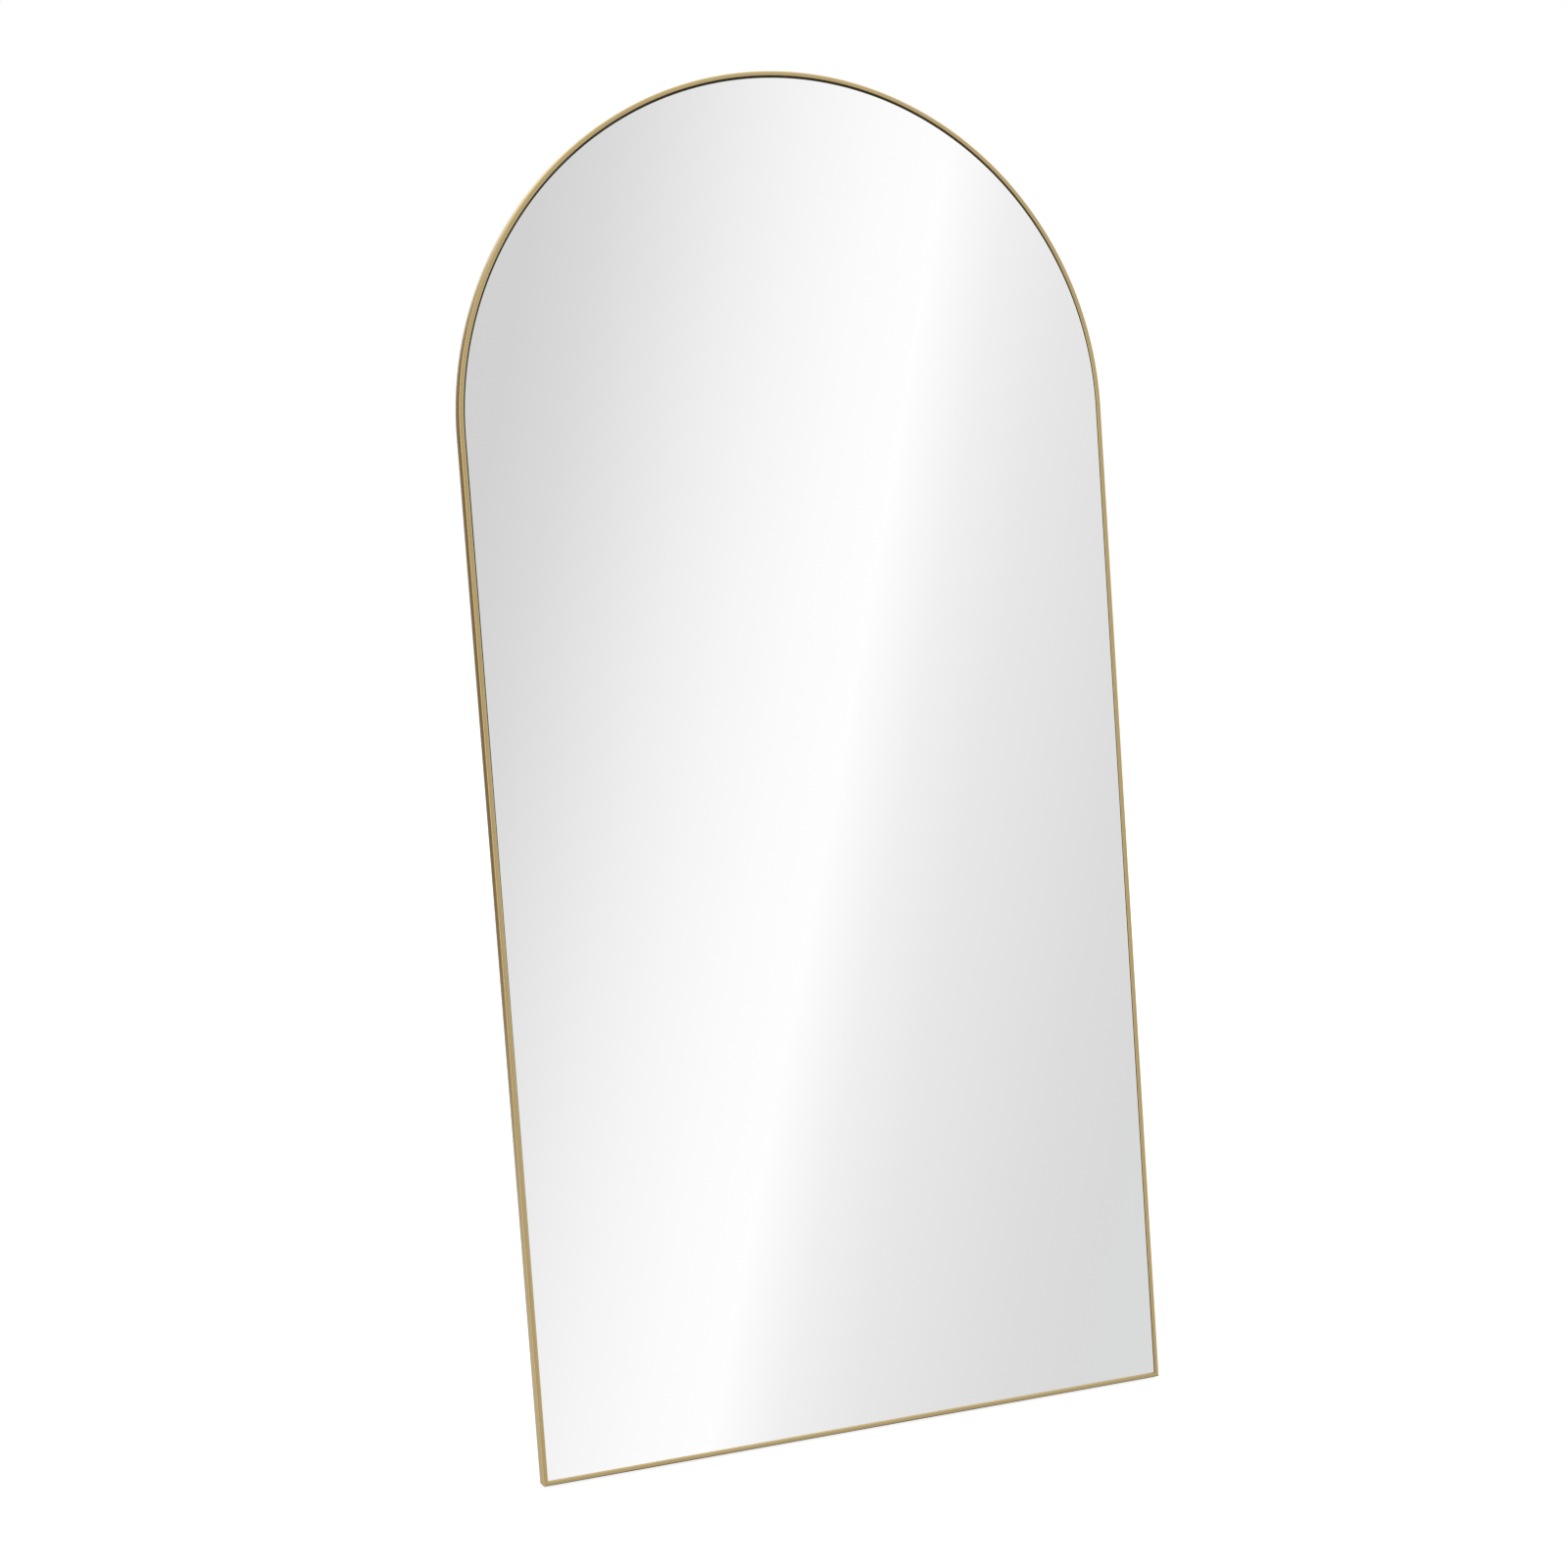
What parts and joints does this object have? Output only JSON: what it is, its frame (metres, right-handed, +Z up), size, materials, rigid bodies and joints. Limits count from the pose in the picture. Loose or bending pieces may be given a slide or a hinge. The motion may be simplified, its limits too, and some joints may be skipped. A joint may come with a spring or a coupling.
{
  "type": "leaning floor mirror",
  "caption": "Tall arched floor mirror in a thin brushed metal frame, leaning back to rest against a wall, with rear cross bars and hinged hanging rings.",
  "frame": {"origin": "on the floor, at the centre of the face of the rubber strip that the mirror stands on", "axes": "+Z up, +X to the right seen from the front, +Y backwards to the wall that the mirror leans on"},
  "size_m": [0.914, 0.3794, 1.7979],
  "materials": {
    "frame_metal": "brushed champagne brass, satin lacquer",
    "zinc_steel": "bright zinc plate",
    "screw_steel": "zinc plate",
    "mirror_glass": "silvered float glass",
    "safety_film": "clear film over silver paint",
    "gasket_rubber": "matte black",
    "foam": "closed-cell foam",
    "packer_plastic": "natural nylon",
    "board": "raw medium density fibreboard",
    "spring_steel": "blued spring steel",
    "bar_steel": "black powder coat",
    "rivet_aluminium": "plain",
    "ring_steel": "nickel plate",
    "bumper_rubber": "matte black, anti-slip"
  },
  "bodies": {
    "mirror": {"frame_arch": "frame_metal", "bottom_rail": "frame_metal", "corner_key_left": "zinc_steel", "corner_key_right": "zinc_steel", "corner_shim_left": "zinc_steel", "corner_shim_right": "zinc_steel", "corner_screws": "screw_steel", "mirror_glass": "mirror_glass", "safety_film": "safety_film", "arch_gasket": "gasket_rubber", "bottom_tape": "foam", "setting_blocks": "packer_plastic", "edge_spacers": "foam", "backing_board": "board", "bow_springs": "spring_steel", "cross_bar_upper": "bar_steel", "cross_bar_lower": "bar_steel", "cross_bar_screws": "screw_steel", "hanger_strap_left": "zinc_steel", "hanger_strap_right": "zinc_steel", "hanger_rivets": "rivet_aluminium", "hanger_buffer_left": "bumper_rubber", "hanger_buffer_right": "bumper_rubber", "wall_bumper_left": "bumper_rubber", "wall_bumper_right": "bumper_rubber", "floor_strip": "bumper_rubber"},
    "ring_left": {"d_ring_left": "ring_steel"},
    "ring_right": {"d_ring_right": "ring_steel"}
  },
  "joints": [
    {"name": "ring_left_swing", "type": "hinge", "parent": "mirror", "child": "ring_left", "pos_m": [-0.25, 0.24635, 1.20871], "axis": [1, 0, 0], "range_deg": [-20, 160]},
    {"name": "ring_right_swing", "type": "hinge", "parent": "mirror", "child": "ring_right", "pos_m": [0.25, 0.24635, 1.20871], "axis": [1, 0, 0], "range_deg": [-20, 160]}
  ]
}
